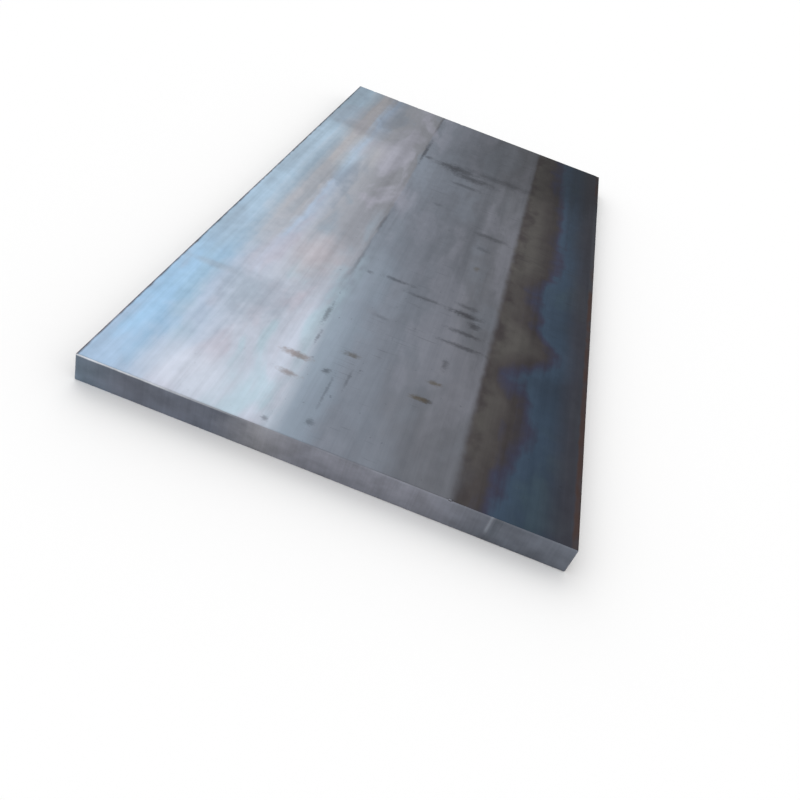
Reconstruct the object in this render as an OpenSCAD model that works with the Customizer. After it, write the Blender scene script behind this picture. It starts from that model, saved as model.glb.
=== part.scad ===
// Heavy hot-rolled steel plate, one solid, as it lies flat in stock.
// X runs across the width, Y along the rolling direction and Z up. The origin is the
// middle of the lower face. The two long sides keep the rounded edge that the rolls
// leave, and the two ends are cut square across with a torch.

/* [Plate] */
// Width across the rolling direction, mm
plate_width = 1250; // [600:10:2500]
// Length along the rolling direction, mm
plate_length = 2500; // [1000:10:6000]
// Thickness, mm
plate_thickness = 80; // [40:1:150]

/* [Rolled sides] */
// Radius of the upper arris along each long side, mm
side_top_radius = 6; // [1:0.5:15]
// Radius of the lower arris along each long side, mm
side_bottom_radius = 4; // [1:0.5:15]

/* [Cut ends] */
// Radius that the flame melts onto the upper arris of each end, mm
end_top_radius = 2.5; // [0.5:0.5:6]
// Radius of the lower arris of each end, mm
end_bottom_radius = 1.5; // [0.5:0.5:6]
// Radius of the four upright corners, mm
corner_radius = 4; // [0.5:0.5:12]

/* [Hidden] */
$fn = 64;
// How far a cutter reaches past the faces it trims, mm
cutter_overshoot = 5;
mill_scale_colour = [0.42, 0.46, 0.52];

// Waste outside a quarter round, for an edge at the origin with the metal in +X and +Y
module arris_waste(radius) {
    difference() {
        translate([-cutter_overshoot, -cutter_overshoot])
            square(radius + cutter_overshoot);
        translate([radius, radius])
            circle(radius);
    }
}

// Bar of that waste, centred along Z
module arris_cutter(radius, run) {
    linear_extrude(run + 2 * cutter_overshoot, center = true)
        arris_waste(radius);
}

// The same cutter on both ends of a span along X, with the metal between them and above
module cutter_pair(span, radius, run) {
    for (flip = [0, 1])
        mirror([flip, 0, 0])
            translate([-span / 2, 0, 0])
                arris_cutter(radius, run);
}

// Cutters for a lower and an upper arris of a slab that stands on Y = 0
module arris_cutters(span, bottom_radius, top_radius, run) {
    cutter_pair(span, bottom_radius, run);
    translate([0, plate_thickness, 0])
        mirror([0, 1, 0])
            cutter_pair(span, top_radius, run);
}

module blank() {
    translate([-plate_width / 2, -plate_length / 2, 0])
        cube([plate_width, plate_length, plate_thickness]);
}

// Rounding along the two long sides
module rolled_side_waste() {
    rotate([90, 0, 0])
        arris_cutters(plate_width, side_bottom_radius, side_top_radius, plate_length);
}

// Rounding along the two ends
module cut_end_waste() {
    rotate([90, 0, 90])
        arris_cutters(plate_length, end_bottom_radius, end_top_radius, plate_width);
}

// Rounding of the four upright corners
module corner_waste() {
    translate([0, 0, plate_thickness / 2])
        for (flip = [0, 1])
            mirror([0, flip, 0])
                translate([0, -plate_length / 2, 0])
                    cutter_pair(plate_width, corner_radius, plate_thickness);
}

module steel_plate() {
    color(mill_scale_colour)
        difference() {
            blank();
            rolled_side_waste();
            cut_end_waste();
            corner_waste();
        }
}

steel_plate();
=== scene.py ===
# %% [markdown]
# # A hot-rolled steel plate
# A mill rolls a glowing slab flat, lets it cool in air and cuts it to length with a torch. The plate
# that comes out is plain in shape, so the eye goes to its skin: the blue and brown mill scale, the
# marks of handling and the two kinds of edge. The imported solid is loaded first, because it fixes the
# size and the place of all that follows. It could be dressed as it is, but its arrises are too
# perfect for a close look, so a finer plate takes its place below.

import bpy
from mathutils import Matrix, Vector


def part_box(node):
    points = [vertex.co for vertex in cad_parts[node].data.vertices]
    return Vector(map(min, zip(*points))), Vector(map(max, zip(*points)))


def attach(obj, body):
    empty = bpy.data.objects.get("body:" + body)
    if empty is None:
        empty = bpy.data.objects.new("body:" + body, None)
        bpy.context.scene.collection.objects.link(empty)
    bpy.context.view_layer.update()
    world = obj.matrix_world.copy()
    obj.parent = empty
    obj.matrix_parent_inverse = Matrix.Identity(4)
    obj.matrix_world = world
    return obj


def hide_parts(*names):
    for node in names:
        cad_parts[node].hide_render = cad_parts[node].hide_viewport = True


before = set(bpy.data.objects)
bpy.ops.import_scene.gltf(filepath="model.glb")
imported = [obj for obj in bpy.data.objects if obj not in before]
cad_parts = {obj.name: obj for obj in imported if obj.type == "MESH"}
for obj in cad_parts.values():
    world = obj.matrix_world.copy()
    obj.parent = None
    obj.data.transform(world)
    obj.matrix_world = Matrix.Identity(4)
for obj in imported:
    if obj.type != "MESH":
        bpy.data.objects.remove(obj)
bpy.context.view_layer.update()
plate_low, plate_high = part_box("steel_plate")
width, length, thickness = (high - low for low, high in zip(plate_low, plate_high))
print(f"plate: {width:.3f} m wide, {length:.3f} m long, {thickness:.3f} m thick")

# %% [markdown]
# ## The camera
# The camera stands near one end and looks down along the plate, held a little askew. It could follow
# an empty with a Track To constraint, but a place, an aim point and a roll say the same in three
# values. It comes first, because every tone below is judged through it.

# %% Place the camera
import math

import bpy
from mathutils import Quaternion, Vector

camera_place = Vector((0.118, -2.564, 1.318))
camera_aim = Vector((0.073, -0.903, thickness))
camera_roll = math.radians(20.4)

camera = bpy.data.objects.new("camera", bpy.data.cameras.new("camera"))
camera.data.lens = 35.1
camera.data.shift_x = 0.0125
camera.data.shift_y = -0.025
camera.location = camera_place
camera.rotation_mode = "QUATERNION"
aim_turn = (camera_aim - camera_place).to_track_quat("-Z", "Y")
camera.rotation_quaternion = aim_turn @ Quaternion((0, 0, 1), camera_roll)
bpy.context.scene.collection.objects.link(camera)
bpy.context.scene.camera = camera
bpy.context.scene.view_settings.view_transform = "Standard"
print(f"camera: {(camera_aim - camera_place).length:.2f} m from its aim point")

# %% [markdown]
# ## Nodes as arithmetic
# Shaders and geometry are both built from nodes, and most of those nodes are sums. Wiring each one
# by hand hides the sum, so a small class wraps a socket and lets Python's own operators add the
# Math nodes. One method, `add`, makes every other kind of node.

# %% Wrap a socket
class Wire:
    """A socket of a node tree. Arithmetic on wires adds the Math nodes for it."""

    def __init__(self, tree, socket=None):
        self.tree = tree
        self.socket = socket

    def add(self, kind, settings=None, inputs=None, output=0):
        """Add a node: its settings first, then a value or a wire for each named input."""
        node = self.tree.nodes.new(kind)
        for name, value in (settings or {}).items():
            if name == "stops":
                set_stops(node.color_ramp, value)
            else:
                setattr(node, name, value)
        for name, value in (inputs or {}).items():
            if isinstance(value, Wire):
                self.tree.links.new(value.socket, node.inputs[name])
            else:
                node.inputs[name].default_value = value
        return Wire(self.tree, node.outputs[output] if node.outputs else None)

    def other(self, output):
        """Another output of the node that this wire comes from."""
        return Wire(self.tree, self.socket.node.outputs[output])

    def math(self, operation, *values):
        return self.add("ShaderNodeMath", {"operation": operation}, dict(enumerate(values)))

    def __add__(self, value):
        return self.math("ADD", self, value)

    def __radd__(self, value):
        return self.math("ADD", value, self)

    def __sub__(self, value):
        return self.math("SUBTRACT", self, value)

    def __rsub__(self, value):
        return self.math("SUBTRACT", value, self)

    def __mul__(self, value):
        return self.math("MULTIPLY", self, value)

    def __rmul__(self, value):
        return self.math("MULTIPLY", value, self)

    def __truediv__(self, value):
        return self.math("DIVIDE", self, value)

    def __rtruediv__(self, value):
        return self.math("DIVIDE", value, self)

    def __pow__(self, value):
        return self.math("POWER", self, value)

    def __abs__(self):
        return self.math("ABSOLUTE", self)


print("wires: + - * / ** and abs() add Math nodes")

# %% [markdown]
# A handful of helpers cover what the plate needs: the stops of a ramp, the parts of a vector, the
# larger of two values, a soft step from one value to another, a place scaled and shifted, and noise.
# The grain of the noise is given per metre, so that each pattern has a real size. It swings about
# zero, so that adding it shifts nothing on the whole.

# %% Helpers for any tree
def set_stops(ramp, stops):
    """Give a colour ramp these (position, colour) stops."""
    while len(ramp.elements) > 1:
        ramp.elements.remove(ramp.elements[-1])
    for number, (position, colour) in enumerate(stops):
        stop = ramp.elements.new(position) if number else ramp.elements[0]
        stop.position = position
        stop.color = colour


def parts(vector):
    first = vector.add("ShaderNodeSeparateXYZ", None, {0: vector})
    return first, first.other(1), first.other(2)


def larger(first, second):
    wire = first if isinstance(first, Wire) else second
    return wire.math("MAXIMUM", first, second)


def step(value, start, end, low=0.0, high=1.0, kind="SMOOTHSTEP"):
    """Go from low to high while value goes from start to end."""
    limits = {"From Min": start, "From Max": end, "To Min": low, "To Max": high}
    return value.add("ShaderNodeMapRange", {"interpolation_type": kind}, {"Value": value, **limits})


def stretch(place, factors, shift):
    """A place scaled along each axis and then shifted."""
    settings = {"operation": "MULTIPLY_ADD"}
    return place.add("ShaderNodeVectorMath", settings, {0: place, 1: factors, 2: shift})


def noise(place, per_metre, detail=2.0, seed=0.0, swirl=0.0):
    """Noise from -0.5 to 0.5 with so many waves a metre along X, Y and Z."""
    grain = stretch(place, per_metre, (seed, 2.3 * seed, 4.1 * seed))
    inputs = {"Vector": grain, "Scale": 1.0, "Detail": detail, "Distortion": swirl}
    return place.add("ShaderNodeTexNoise", None, inputs) - 0.5


print("helpers: set_stops, parts, larger, step, stretch, noise")

# %% [markdown]
# ## Light and floor
# Dark metal shows what stands around it, so the surroundings are kept plain: a pale floor, an even
# white room and one wide soft lamp. The lamp is a sun with a broad disc, far behind the plate and
# to the left, so that its sheen lies on the near left corner and dies away over the plate. An area
# lamp would do that too, but it would leave the far floor dark.

# %% Light the room
lamp_from = Vector((-0.69, 1.40, 1.25))
lamp_share = 0.25
room_share = 0.85

lamp = bpy.data.objects.new("lamp", bpy.data.lights.new("lamp", "SUN"))
lamp.data.energy = lamp_share * math.pi
lamp.data.angle = math.radians(60)
lamp.rotation_mode = "QUATERNION"
lamp.rotation_quaternion = lamp_from.to_track_quat("Z", "Y")
bpy.context.scene.collection.objects.link(lamp)

room = bpy.data.worlds.new("room")
room.use_nodes = True
room.node_tree.nodes.clear()
bpy.context.scene.world = room
ray = Wire(room.node_tree).add("ShaderNodeLightPath", output="Is Camera Ray")
shown = larger(larger(ray, ray.other("Is Glossy Ray")), ray.other("Is Transmission Ray"))
strength = room_share + (1 - room_share) * shown
glow = ray.add("ShaderNodeBackground", None, {"Color": (1, 1, 1, 1), "Strength": strength})
glow.add("ShaderNodeOutputWorld", None, {"Surface": glow})
print(f"light: {room_share} from the room and {lamp_share} from the lamp")

# %% [markdown]
# Each finish starts from an empty node tree and ends in one Principled shader. Blender could put that
# shader there by itself, but an empty tree holds nothing except what the cells below add. What is the
# same all over a surface is set on the shader's own sockets, and only what varies is wired to them.

# %% Start and close a material
def material(name):
    """A new material with an empty tree, and a wire to start from."""
    made = bpy.data.materials.new(name)
    made.use_nodes = True
    made.node_tree.nodes.clear()
    return made, Wire(made.node_tree)


def surface(start, **sockets):
    """Close a material with one Principled shader."""
    inputs = {name.replace("_", " "): value for name, value in sockets.items()}
    shader = start.add("ShaderNodeBsdfPrincipled", None, inputs)
    start.add("ShaderNodeOutputMaterial", None, {"Surface": shader})


print("helpers: material, surface")

# %% [markdown]
# The floor is one large square just under the plate. A backdrop with a curved rise would hide the
# horizon as well, but a floor this wide, as bright as the white room, meets it without a line. It
# has no gloss, so that it only takes the plate's shadow and gives a little light back to the edges.

# %% Lay the floor
floor_reach = 200.0
floor_drop = 0.0005
floor_white = 0.995

floor_mesh = bpy.data.meshes.new("floor")
floor_signs = ((-1, -1), (1, -1), (1, 1), (-1, 1))
floor_corners = [(floor_reach * a, floor_reach * b, -floor_drop) for a, b in floor_signs]
floor_mesh.from_pydata(floor_corners, [], [(0, 1, 2, 3)])
floor = bpy.data.objects.new("floor", floor_mesh)
bpy.context.scene.collection.objects.link(floor)

floor_paint, floor_start = material("floor_paint")
floor_colour = (floor_white, floor_white, floor_white, 1)
surface(floor_start, Base_Color=floor_colour, Roughness=1.0, Specular_IOR_Level=0.0)
floor_mesh.materials.append(floor_paint)
print(f"floor: {2 * floor_reach:.0f} m square")

# %% [markdown]
# ## Tones
# Mill scale is a thin crust of iron oxide. Where it is thin it takes the blue, plum and straw
# colours of tempered steel, and where water stood on it, it turns brown. The tones are written
# about as they look on a screen, because those values are easy to judge, and are turned into
# the linear values that shaders use.

# %% Name the tones
def tone(red, green, blue):
    """A screen colour from 0 to 255 as a linear colour with full alpha."""
    levels = (channel / 255 for channel in (red, green, blue))
    linear = [v / 12.92 if v <= 0.04045 else ((v + 0.055) / 1.055) ** 2.4 for v in levels]
    return (*linear, 1.0)


sky_blue = tone(142, 172, 198)
dusty_blue = tone(155, 174, 190)
ice_blue = tone(152, 166, 184)
dull_ice = tone(142, 152, 164)
pale_lilac = tone(165, 171, 183)
lilac_grey = tone(152, 152, 164)
rose_grey = tone(162, 158, 164)
straw_grey = tone(158, 158, 162)
mist_grey = tone(150, 153, 160)
dove_grey = tone(122, 124, 130)
water_grey = tone(134, 146, 158)
blue_grey = tone(124, 134, 146)
pewter = tone(114, 120, 130)
steel_grey = tone(106, 111, 120)
slate = tone(96, 100, 108)
warm_grey = tone(94, 96, 102)
olive_brown = tone(78, 76, 74)
plum_brown = tone(61, 57, 58)
violet_grey = tone(57, 58, 73)
steel_blue = tone(57, 71, 87)
teal_grey = tone(62, 77, 85)
night_blue = tone(48, 57, 69)
rim_grey = tone(57, 55, 60)
rust_brown = tone(87, 79, 65)
fresh_rust = tone(136, 121, 114)
dark_scale = tone(46, 46, 50)
print("tones: from sky blue to dark scale")

# %% [markdown]
# Four more helpers handle colour: a mix of two colours, a colour made lighter or darker, a colour that
# follows stops, and a smooth line through a few points. The line is a ramp of greys with B-spline
# steps. A Float Curve node would draw one too, but a ramp takes its points as the colours do.

# %% Helpers for colour
def blend(factor, first, second, kind="MIX"):
    """Mix two colours. Either may be a plain colour or a wire."""
    wire = next(value for value in (factor, first, second) if isinstance(value, Wire))
    settings = {"data_type": "RGBA", "blend_type": kind}
    return wire.add("ShaderNodeMix", settings, {0: factor, 6: first, 7: second}, output=2)


def shaded(colour, shade):
    """A colour made lighter or darker by a value about 1."""
    grey = shade.add("ShaderNodeCombineColor", None, {0: shade, 1: shade, 2: shade})
    return blend(1.0, colour, grey, "MULTIPLY")


def ramp(value, stops):
    """A colour that follows these (position, colour) stops."""
    return value.add("ShaderNodeValToRGB", {"stops": stops}, {"Fac": value})


def course(value, points):
    """A smooth line that bends towards these (position, value) points."""
    line = ramp(value, [(position, (share, share, share, 1)) for position, share in points])
    line.socket.node.color_ramp.interpolation = "B_SPLINE"
    return line


print("helpers: blend, shaded, ramp, course")

# %% [markdown]
# ## The scale on the faces
# The plate cooled in lanes along the rolling direction. The lanes could be painted on a picture, but
# a ramp across the width, nudged by noise, stays sharp at any distance and can be moved with one
# number. They are narrower on the left than on the right, so the share across is bent a little before
# any ramp reads it. Five fields of noise serve the steps below: patches of half a metre, clouds as
# large as a hand, a ragged one as large as a finger, and two drawn out along the plate by the rolls.

# %% Fields of noise
lane_bow = 0.27

scale_steel, scale_start = material("scale_steel")
place = scale_start.add("ShaderNodeTexCoord", output="Object")
x, y, z = parts(place)
even_across = x / width + 0.5
across = even_across + lane_bow * even_across * (1 - even_across)
along = y / length + 0.5
shares = scale_start.add("ShaderNodeCombineXYZ", None, {0: across, 1: along})
top_side = step(z, 0.5 * thickness, 0.6 * thickness)
patch = noise(place, (2.2, 1.3, 2.2), detail=3, seed=1)
cloud = noise(place, (7, 4, 7), detail=5, seed=2, swirl=0.5)
ragged = noise(place, (36, 26, 36), detail=4, seed=3)
streak = noise(place, (24, 0.8, 24), detail=6, seed=4)
hair = noise(place, (240, 5, 240), detail=3, seed=5)
print("fields: patch, cloud, ragged, streak, hair")

# %% [markdown]
# On the left lies a sky-blue lane with a cloudy edge, then a pale lilac one. It ends at a seam, where
# a layer of scale stops: sharp at the far end and ragged at the near end. A wide steel-grey lane
# follows. The near half cooled in clouds and the far half in straight bands, so each side of the
# seam has a near and a far ramp, and one soft step leads from the first to the second.

# %% Lanes on both sides of the seam
left_near = [(0.02, sky_blue), (0.08, sky_blue), (0.14, ice_blue), (0.26, pale_lilac), (0.42, pale_lilac)]
left_far = [(0.03, dusty_blue), (0.08, dusty_blue), (0.14, straw_grey), (0.18, straw_grey),
            (0.21, ice_blue), (0.27, mist_grey), (0.37, dove_grey)]
right_near = [(0.44, water_grey), (0.49, blue_grey), (0.53, pewter), (0.62, steel_grey), (0.74, warm_grey)]
right_far = [(0.44, pewter), (0.60, slate), (0.76, warm_grey)]
seam_points = [(0.0, 0.455), (0.10, 0.445), (0.20, 0.425), (0.27, 0.405), (0.32, 0.425), (0.40, 0.425),
               (0.63, 0.430), (0.75, 0.420), (1.0, 0.415)]

near_lane = across + 0.14 * cloud + 0.05 * ragged + 0.08 * streak
far_lane = across + 0.06 * cloud + 0.02 * ragged + 0.10 * streak
farness = step(along + 0.35 * patch + 0.15 * cloud, 0.16, 0.54)
left_tone = blend(farness, ramp(near_lane, left_near), ramp(far_lane, left_far))
right_tone = blend(farness, ramp(near_lane, right_near), ramp(far_lane, right_far))
frontness = step(along, 0.42, 0.22)
past_seam = across - course(along, seam_points) + 0.012 * ragged + 0.08 * frontness * streak
seam_softness = 0.004 + 0.02 * frontness
colour = blend(step(past_seam / seam_softness, -1, 1), left_tone, right_tone)
print(f"seam: {len(seam_points)} points along the plate")

# %% [markdown]
# Beyond a straight water line the scale is olive brown. Where the water ran further it left a
# wandering edge with a plum and violet fringe, and behind that the scale is blue, down to a grey rim
# along the side. The edge could be drawn as a curve on the mesh, but as a line of points in the
# shader it takes the same noise as the lanes do, so it wanders in the same way.

# %% Brown and blue beyond the water line
water_line = 0.80
blue_points = [(0.0, 0.86), (0.08, 0.885), (0.18, 0.91), (0.225, 0.855), (0.25, 0.87), (0.29, 0.945),
               (0.32, 0.935), (0.36, 0.885), (0.47, 0.885), (0.52, 0.925), (0.60, 0.92), (0.78, 0.90),
               (1.0, 0.885)]
fringe = [(0.34, plum_brown), (0.46, violet_grey), (0.56, steel_blue), (0.95, night_blue)]

past_water = step(across + 0.012 * ragged + 0.016 * streak, water_line - 0.010, water_line + 0.010)
scallop = noise(place, (13, 11, 0), detail=2, seed=12, swirl=0.6)
mottle = 0.08 * cloud + 0.12 * scallop + 0.04 * ragged
brown_tone = blend(step(across + mottle, 0.785, 0.845), plum_brown, olive_brown)
past_blue = across - course(along, blue_points) + 0.04 * cloud + 0.05 * scallop + 0.008 * ragged
well_past = step(past_blue, 0.0, 0.04)
blue_tone = ramp(0.5 + 5 * past_blue + 0.3 * streak, fringe)
blue_tone = blend(well_past * step(cloud, -0.02, 0.16, 0.0, 0.5), blue_tone, teal_grey)
blue_tone = blend(well_past * step(along, 0.50, 0.66, 0.0, 0.7), blue_tone, night_blue)
blue_tone = blend(step(across + 0.03 * cloud, 0.93, 0.985, 0.0, 0.75), blue_tone, rim_grey)
water_tone = blend(step(past_blue, -0.085, -0.015), brown_tone, blue_tone)
colour = blend(past_water, colour, water_tone)
print(f"water line: at {water_line:.2f} across, with {len(blue_points)} points for the blue edge")

# %% [markdown]
# ## Marks of storage and handling, and a painted sheen
# Thin oxide shimmers from lilac to blue, and damp and dust leave soft patches. One pale patch at the
# near edge is a painted sheen. The shimmer is one more field of noise. Each patch is an oval with a
# cloudy rim, given by its place in shares of the plate, its rough reach in metres, its strength and
# its tone. They could be painted by hand, but a loop over rows is easier to change: one more patch
# is one more row.

# %% Shimmer and soft patches
near_rose = tone(168, 162, 172)
near_cyan = tone(152, 173, 183)
# A painted sheen: a pale glare across the near edge.
painted_sheen = tone(180, 187, 199)
soft_patches = [
    (0.32, 0.335, 0.12, 0.19, 0.9, rose_grey), (0.25, 0.70, 0.07, 0.22, 0.5, straw_grey),
    (0.23, 0.20, 0.14, 0.15, 0.9, dull_ice), (0.20, 0.66, 0.05, 0.25, 0.5, dusty_blue),
    (0.20, 0.79, 0.34, 0.07, 0.35, dove_grey), (0.06, 0.12, 0.05, 0.25, 0.5, sky_blue),
    (0.12, 0.225, 0.16, 0.02, 0.5, dull_ice), (0.05, 0.33, 0.08, 0.20, 0.35, dull_ice),
    # The second patch on the next row is the painted sheen, not damp or dust.
    (0.75, 0.05, 0.08, 0.22, 0.6, warm_grey), (0.24, 0.03, 0.17, 0.12, 0.8, painted_sheen),
]


def smear(shares, rim, share_across, share_along, reach_across, reach_along, strength):
    """How strongly an oval mark covers the surface."""
    factor_across, factor_along = width / reach_across, length / reach_along
    shift = (-share_across * factor_across, -share_along * factor_along, 0)
    oval = stretch(shares, (factor_across, factor_along, 0), shift)
    reach = oval.add("ShaderNodeVectorMath", {"operation": "LENGTH"}, {0: oval}, output="Value")
    return step(reach + rim, 0.1, 1.25, strength, 0.0)


shimmer = noise(place, (7, 2.2, 7), detail=4, seed=10, swirl=0.4)
shimmer_share = step(across, 0.12, 0.26, 0.25, 0.65) * step(across, 0.40, 0.50, 1.0, 0.2)
shimmer_share = shimmer_share * step(along, 0.6, 0.8, 1.0, 0.8) * (1 - past_water)
duller = larger(farness, step(across, 0.42, 0.48))
rose_shimmer = blend(duller, near_rose, lilac_grey)
blue_shimmer = blend(duller, near_cyan, blue_grey)
colour = blend(shimmer_share * step(shimmer, 0.0, 0.12), colour, rose_shimmer)
colour = blend(shimmer_share * step(shimmer, -0.02, -0.12), colour, blue_shimmer)

soft_rim = 1.5 * cloud + 0.3 * ragged
for *row, patch_tone in soft_patches:
    colour = blend(top_side * smear(shares, soft_rim, *row), colour, patch_tone)
print(f"soft patches: {len(soft_patches)}")

# %% [markdown]
# Chains and bearers leave short dark smears across the rolling direction, and a few of those have
# begun to rust. They are ovals as well, but small, and finer noise breaks up their rims. They lie on
# the upper face only, because nothing was dragged over the lower one.

# %% Smears and spots
dark_smears = [
    (0.555, 0.770, 0.100, 0.045, 0.75), (0.61, 0.752, 0.120, 0.035, 0.65),
    (0.70, 0.787, 0.200, 0.035, 0.45), (0.61, 0.712, 0.080, 0.020, 0.5), (0.425, 0.800, 0.009, 0.160, 0.65),
    (0.445, 0.775, 0.020, 0.022, 0.55), (0.73, 0.560, 0.070, 0.020, 0.5),
    (0.72, 0.515, 0.030, 0.018, 0.4), (0.47, 0.337, 0.014, 0.012, 0.4), (0.545, 0.342, 0.055, 0.012, 0.55),
    (0.63, 0.324, 0.070, 0.011, 0.45), (0.73, 0.342, 0.045, 0.014, 0.5), (0.73, 0.322, 0.055, 0.020, 0.8),
    (0.755, 0.304, 0.020, 0.025, 0.7), (0.74, 0.280, 0.060, 0.014, 0.6), (0.74, 0.250, 0.070, 0.013, 0.6),
    (0.55, 0.247, 0.030, 0.012, 0.3), (0.43, 0.215, 0.010, 0.070, 0.5), (0.44, 0.165, 0.006, 0.040, 0.45),
    (0.72, 0.203, 0.010, 0.035, 0.5), (0.515, 0.085, 0.005, 0.080, 0.35), (0.545, 0.115, 0.005, 0.050, 0.35),
    (0.495, 0.113, 0.014, 0.014, 0.6), (0.515, 0.030, 0.014, 0.014, 0.45), (0.433, 0.012, 0.012, 0.012, 0.5),
    (0.71, 0.127, 0.018, 0.012, 0.6), (0.55, 0.606, 0.025, 0.016, 0.3),
]
rust_smears = [
    (0.42, 0.122, 0.050, 0.016, 0.6, fresh_rust), (0.425, 0.088, 0.038, 0.013, 0.5, fresh_rust),
    (0.528, 0.156, 0.028, 0.012, 0.5, rust_brown), (0.695, 0.127, 0.030, 0.012, 0.7, rust_brown),
    (0.712, 0.162, 0.022, 0.011, 0.6, rust_brown), (0.72, 0.450, 0.012, 0.018, 0.4, rust_brown),
]

coarse_rim = noise(place, (40, 60, 0), detail=3, seed=6)
fine_rim = noise(place, (110, 190, 0), detail=3, seed=11)
rim = 1.2 * coarse_rim + 1.6 * fine_rim
dark = 0.0
for row in dark_smears:
    dark = larger(dark, smear(shares, rim, *row))
dark = dark * top_side
colour = blend(0.8 * dark, colour, dark_scale)
rust = 0.0
for *row, rust_tone in rust_smears:
    rusty = top_side * smear(shares, rim, *row)
    colour = blend(rusty, colour, rust_tone)
    rust = larger(rust, rusty)
print(f"smears: {len(dark_smears)} dark, {len(rust_smears)} rusty")

# %% [markdown]
# Three more dark marks follow a rule and need no list: the broken line along the seam, fine scuffs
# across the plate, and specks where a flake of scale came off. Noise picks their places. Where two
# of them meet, the stronger one wins, so that they never add up to black.

# %% Seam line, scuffs and specks
seam_gaps = step(noise(place, (20, 4, 0), detail=3, seed=7), -0.08, 0.10)
seam_line = step(abs(past_seam), 0.008, 0.001) * seam_gaps * (1 - frontness)
scuffs = step(noise(place, (9, 120, 0), detail=4, seed=8) + 0.5 * patch, 0.13, 0.26)
scuffs = scuffs * step(across, 0.45, 0.6)
specks = step(noise(place, (75, 55, 0), detail=2, seed=9), 0.20, 0.27) * step(across, 0.25, 0.50, 0.3, 1.0)
small_marks = top_side * larger(0.5 * seam_line, larger(0.35 * scuffs, 0.35 * specks))
colour = blend(0.8 * small_marks, colour, dark_scale)
print("rules: seam line, scuffs and specks")

# %% [markdown]
# ## Wear, grain and gloss
# The long edges are rubbed down to a brown line, and the sides carry a duller, rusty scale. Rolling
# draws all of it out into fine streaks, and dust with painted shade darkens the far end. The streaks,
# the dust and the painted shade only make a tone lighter or darker, so one value holds them and is
# multiplied into the colour once.

# %% Sides, streaks, dust and painted shade
side_scale = tone(72, 74, 80)
side_rust = tone(76, 61, 57)
dust_and_shade_points = [(0.0, 0.26), (0.18, 0.26), (0.27, 0.42), (0.36, 0.02), (0.48, 0.18), (0.62, 0.30),
               (0.84, 0.42), (1.0, 0.34)]

side_depth = 0.5 * width - abs(x)
edge_line = step(side_depth + 0.010 * ragged - 0.010 * past_water, 0.012, 0.003)
side_tone = blend(step(cloud + 0.5 * streak, -0.10, 0.12), side_scale, side_rust)
colour = blend(0.85 * edge_line, colour, side_tone)
shade = 1 + 0.9 * streak + 0.3 * cloud + 0.15 * patch + 0.25 * ragged + 0.1 * hair
# Dust and painted shade darken the far end, by an amount that changes across the plate.
dust_and_shade = course(across, dust_and_shade_points) * step(along + 0.15 * cloud, 0.70, 0.86)
colour = shaded(colour, shade * (1 - dust_and_shade))
print(f"dust: takes up to {max(share for position, share in dust_and_shade_points):.2f} of a tone")

# %% [markdown]
# Scale is neither bare metal nor paint, so Metallic lies between the two, and rust takes it down. The
# streaks change the gloss a little too, which makes the sheen look like metal. At a low angle every
# surface turns into a mirror for the white room, but real scale is too rough for that, so the specular
# level is low and the edge tint is grey. The finest relief is a bump, because as geometry it would
# need millions of faces.

# %% Finish the scale
gloss = 0.46 + 0.25 * streak + 0.15 * cloud + 0.05 * past_water + 0.25 * larger(rust, edge_line) + 0.12 * dark
height = hair + 1.5 * streak + 0.6 * ragged
relief = scale_start.add("ShaderNodeBump", None, {"Strength": 0.4, "Distance": 0.0006, "Height": height})
surface(scale_start, Base_Color=colour, Metallic=0.6 - 0.5 * rust, Roughness=gloss, Normal=relief,
        Specular_IOR_Level=0.05, Specular_Tint=(0.45, 0.45, 0.45, 1))
print(f"scale: {len(scale_steel.node_tree.nodes)} nodes")

# %% [markdown]
# ## The torch-cut ends
# A torch leaves a greyer, duller face than the rolls do, with faint upright drag lines. One material
# with a switch inside could do for both, but every face would then carry all the nodes, so the cut
# has a material of its own.

# %% Cut steel
cut_left = tone(98, 112, 126)
cut_slate = tone(100, 105, 117)
cut_pale = tone(136, 137, 143)
cut_middle = tone(128, 130, 140)
cut_right = tone(98, 103, 113)
cut_lanes = [(0.0, cut_left), (0.10, cut_slate), (0.28, cut_slate), (0.37, cut_pale), (0.46, cut_middle),
             (0.70, cut_middle), (0.84, cut_right), (1.0, cut_right)]

cut_steel, cut_start = material("cut_steel")
cut_place = cut_start.add("ShaderNodeTexCoord", output="Object")
cut_x, cut_y, cut_z = parts(cut_place)
cut_across = cut_x / width + 0.5
cut_shares = cut_start.add("ShaderNodeCombineXYZ", None, {0: cut_across, 1: cut_y / length + 0.5})
drag = noise(cut_place, (150, 0.5, 7), detail=4, seed=7)
blotch = noise(cut_place, (18, 0.5, 26), detail=5, seed=8)
cut_colour = ramp(cut_across + 0.06 * blotch, cut_lanes)
print(f"cut steel: {len(cut_lanes)} stops across the end")

# %% [markdown]
# A bright line along the upper arris is a painted highlight, where the rounded edge catches the light.
# Where the torch stuttered, a pale upright scar stands beside a dark upright mark. Both are smears
# like the ones above: narrow, and so long along the plate that they cover the near end evenly and
# still don't reach the far one. The painted highlight is a step in height that fades out to the
# right, and the foot of the left third is made paler with painted light.

# %% Scar, dark mark, painted highlight and painted light
scar_tone = tone(158, 163, 172)
dark_mark_tone = tone(66, 72, 78)
# The tone of the painted highlight on the upper arris.
arris_highlight_tone = tone(212, 216, 222)
scar_row = (0.83, 0.0, 0.006, 1.5, 0.42)
dark_mark_row = (0.845, 0.0, 0.011, 1.5, 0.40)

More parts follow.
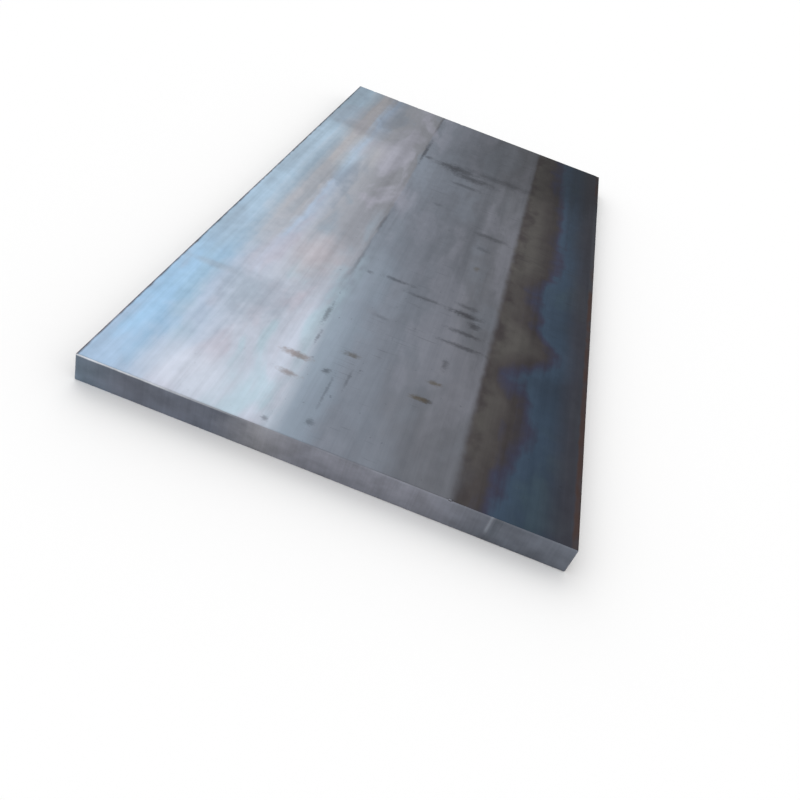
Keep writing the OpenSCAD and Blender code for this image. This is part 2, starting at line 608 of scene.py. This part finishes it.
scar = smear(cut_shares, 1.5 * drag, *scar_row)
dark_mark = smear(cut_shares, 1.5 * drag, *dark_mark_row)
upper_part = step(cut_z + 0.04 * blotch, 0.1 * thickness, 0.5 * thickness)
cut_colour = blend(upper_part * dark_mark, cut_colour, dark_mark_tone)
cut_colour = blend(upper_part * scar, cut_colour, scar_tone)
# Painted highlight: a bright line along the upper arris that fades out to the right.
arris_highlight = step(cut_z + 0.003 * blotch, thickness - 0.007, thickness - 0.003)
arris_highlight = arris_highlight * step(cut_across + 0.3 * blotch, 0.12, 0.36, 0.95, 0.03)
cut_colour = blend(arris_highlight, cut_colour, arris_highlight_tone)
# Painted light: the foot of the left third is made paler.
painted_light_foot = step(cut_z, 0.6 * thickness, 0.1 * thickness) * step(cut_across, 0.40, 0.20)
cut_colour = shaded(cut_colour, 1 + 0.3 * drag + 1.1 * blotch + 0.3 * painted_light_foot)
cut_relief = cut_start.add("ShaderNodeBump", None, {"Strength": 0.5, "Distance": 0.0008, "Height": drag})
surface(cut_start, Base_Color=cut_colour, Metallic=0.6, Roughness=0.5 + 0.3 * blotch, Normal=cut_relief)
print(f"cut steel: {len(cut_steel.node_tree.nodes)} nodes")

# %% [markdown]
# ## The plate itself
# The visible plate is the same slab as the solid, with what a tool leaves on its edges. It could be
# a cube with a Bevel modifier, but that gives each edge one even width. Geometry Nodes start from a
# cube with many rows, push the rows together at the arrises, trim each arris to its own radius, and
# then sink the faces by noise: long waves and drag lines on the cut ends, nicks on their arrises, and
# slow waves on the rolled sides. All of it sinks inwards, so the plate keeps its size.

# %% Start the tree
plate_tree = bpy.data.node_groups.new("plate_blank", "GeometryNodeTree")
plate_sizes = {
    "Width": width, "Length": length, "Thickness": thickness,
    "Side Top Radius": 0.006, "Side Bottom Radius": 0.004,
    "End Top Radius": 0.0025, "End Bottom Radius": 0.0015, "Corner Radius": 0.004,
    "Cut Wave": 0.0012, "Drag Depth": 0.0004, "Nick Depth": 0.0025, "Side Wave": 0.0016,
}
plate_materials = {"Scale": scale_steel, "Cut": cut_steel}
plate_seed = 11
for name in plate_sizes:
    plate_tree.interface.new_socket(name, in_out="INPUT", socket_type="NodeSocketFloat")
for name in plate_materials:
    plate_tree.interface.new_socket(name, in_out="INPUT", socket_type="NodeSocketMaterial")
plate_tree.interface.new_socket("Geometry", in_out="OUTPUT", socket_type="NodeSocketGeometry")
blank = Wire(plate_tree)


def size(name):
    return blank.add("NodeGroupInput", output=name)


print(f"inputs: {', '.join(plate_sizes)}")

# %% [markdown]
# The Cube node spaces its rows evenly, but an arris of a few millimetres needs close rows and the
# wide faces don't. A Subdivision Surface with creases could add them, but it would soften the whole
# plate. So each row is moved: a few rows share the narrow zone at each arris, one more holds the face
# flat beside it, and the rest spread over the middle.

# %% Rows of the cube
arris_rows = 4
rows_across, rows_along, rows_up = 360, 64, 10
arris_zone = 0.007
holding_gap = 0.002


def vertices(rows):
    return rows + 2 * (arris_rows + 1) + 1


def spread(share, span, rows):
    """Where a row lies, from 0 to span: close together at both arrises and even between them."""
    total = vertices(rows) - 1
    near, far = arris_rows / total, (arris_rows + 1) / total
    middle = span - 2 * (arris_zone + holding_gap)
    zones = ((0, near, arris_zone), (near, far, holding_gap), (far, 1 - far, middle),
             (1 - far, 1 - near, holding_gap), (1 - near, 1, arris_zone))
    reached = 0.0
    for start, end, reach in zones:
        reached = reached + step(share, start, end, 0.0, reach, "LINEAR")
    return reached


counts = {"Vertices X": rows_across, "Vertices Y": rows_along, "Vertices Z": rows_up}
counts = {name: vertices(rows) for name, rows in counts.items()}
cube = blank.add("GeometryNodeMeshCube", None, {"Size": (1, 1, 1), **counts}, output="Mesh")
cube_x, cube_y, cube_z = parts(blank.add("GeometryNodeInputPosition"))
row_x = spread(cube_x + 0.5, size("Width"), rows_across) - 0.5 * size("Width")
row_y = spread(cube_y + 0.5, size("Length"), rows_along) - 0.5 * size("Length")
row_z = spread(cube_z + 0.5, size("Thickness"), rows_up)
print(f"rows: {counts}")

# %% [markdown]
# The rolls leave the long sides with wide soft arrises, and the torch leaves narrow ones on the ends.
# Each arris is trimmed in its own cross-section. A point is known by its depths under the two faces
# that meet there. If it lies outside the quarter round, it is pulled back towards the centre of the
# round, and otherwise it stays. The upright corners come last, so they blend the two kinds.

# %% Trim the arrises
def trim(first, second, radius):
    """The two depths of a point after rounding the arris between two faces."""
    over_first = larger(radius - first, 0)
    over_second = larger(radius - second, 0)
    reach = (over_first * over_first + over_second * over_second) ** 0.5
    pull = 1 - 1 / larger(reach / radius, 1)
    return first + over_first * pull, second + over_second * pull


in_x = 0.5 * size("Width") - abs(row_x)
in_y = 0.5 * size("Length") - abs(row_y)
in_x, under_top = trim(in_x, size("Thickness") - row_z, size("Side Top Radius"))
in_x, over_base = trim(in_x, size("Thickness") - under_top, size("Side Bottom Radius"))
in_y, under_top = trim(in_y, size("Thickness") - over_base, size("End Top Radius"))
in_y, over_base = trim(in_y, size("Thickness") - under_top, size("End Bottom Radius"))
in_x, in_y = trim(in_x, in_y, size("Corner Radius"))
under_top = size("Thickness") - over_base
print("arrises: two on the sides, two on the ends and the upright corners")

# %% [markdown]
# The relief could push each point along its normal, but at a corner the normals fan out and the thin
# strips there would fold over. So the depths are used again: each wave moves the points near its
# face straight inwards, and fades out deeper in the plate. The arrises move with the faces and stay
# whole.

# %% Sink the relief
sink_reach = 0.02
nick_reach = 0.006

spot = blank.add("ShaderNodeCombineXYZ", None, {0: row_x, 1: row_y, 2: row_z})
cut_wave = size("Cut Wave") * (0.5 + noise(spot, (6, 1, 3), detail=2, seed=plate_seed))
drag_lines = size("Drag Depth") * (0.5 + noise(spot, (95, 1, 9), detail=2, seed=plate_seed + 1))
nicks = size("Nick Depth") * step(noise(spot, (30, 1, 9), detail=1, seed=plate_seed + 2), 0.13, 0.26)
side_wave = size("Side Wave") * (0.5 + noise(spot, (1, 4, 12), detail=3, seed=plate_seed + 3))
nicks = nicks * step(in_y, nick_reach, 0.0) * step(under_top, nick_reach, 0.0)
sunk_x = in_x + side_wave * step(in_x, sink_reach, 0.0)
sunk_y = in_y + (cut_wave + drag_lines) * step(in_y, sink_reach, 0.0) + nicks

worn_x = (0.5 * size("Width") - sunk_x) * row_x.math("SIGN", row_x)
worn_y = (0.5 * size("Length") - sunk_y) * row_y.math("SIGN", row_y)
worn_place = blank.add("ShaderNodeCombineXYZ", None, {0: worn_x, 1: worn_y, 2: over_base - nicks})
worn = blank.add("GeometryNodeSetPosition", None, {"Geometry": cube, "Position": worn_place})
print("relief: cut waves, drag lines, nicks and side waves")

# %% [markdown]
# The faces that look along the plate are cut steel, and all others wear the scale. The faces could be
# picked by hand in Edit Mode, but here the normal's share along Y picks them. The limit lies about
# half-way round an arris.

# %% Dress the faces
cut_limit = 0.7

smooth = blank.add("GeometryNodeSetShadeSmooth", None, {"Geometry": worn})
real = blank.add("GeometryNodeRealizeInstances", None, {"Geometry": smooth})
facing_end = abs(parts(blank.add("GeometryNodeInputNormal"))[1])
cut_faces = facing_end.math("GREATER_THAN", facing_end, cut_limit)
scaled = blank.add("GeometryNodeSetMaterial", None, {"Geometry": real, "Material": size("Scale")})
cut_inputs = {"Geometry": scaled, "Selection": cut_faces, "Material": size("Cut")}
dressed = blank.add("GeometryNodeSetMaterial", None, cut_inputs)
blank.add("NodeGroupOutput", None, {"Geometry": dressed})
print(f"tree: {len(plate_tree.nodes)} nodes")

# %% [markdown]
# An empty object gets the tree as a modifier, and its inputs are set by their identifiers. The result
# is then turned into a plain mesh and the modifier goes, because later steps expect a mesh with
# nothing left to work out.

# %% Make it a plain mesh
plate = bpy.data.objects.new("rolled_plate", bpy.data.meshes.new("blank"))
bpy.context.scene.collection.objects.link(plate)
maker = plate.modifiers.new("plate_blank", "NODES")
maker.node_group = plate_tree
for socket in plate_tree.interface.items_tree:
    if socket.in_out == "INPUT":
        maker[socket.identifier] = {**plate_sizes, **plate_materials}[socket.name]

evaluated = plate.evaluated_get(bpy.context.evaluated_depsgraph_get())
plate_mesh = bpy.data.meshes.new_from_object(evaluated)
plate.modifiers.clear()
plate.data = plate_mesh
plate_mesh.name = "rolled_plate"
# The Cube node brings one empty material slot with it.
plate_mesh.materials.pop(index=0)
triangles = sum(len(face.vertices) - 2 for face in plate_mesh.polygons)
print(f"plate: {triangles} triangles, materials {[slot.name for slot in plate_mesh.materials]}")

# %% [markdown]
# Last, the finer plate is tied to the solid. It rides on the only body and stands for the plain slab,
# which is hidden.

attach(plate, "root")
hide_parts("steel_plate")
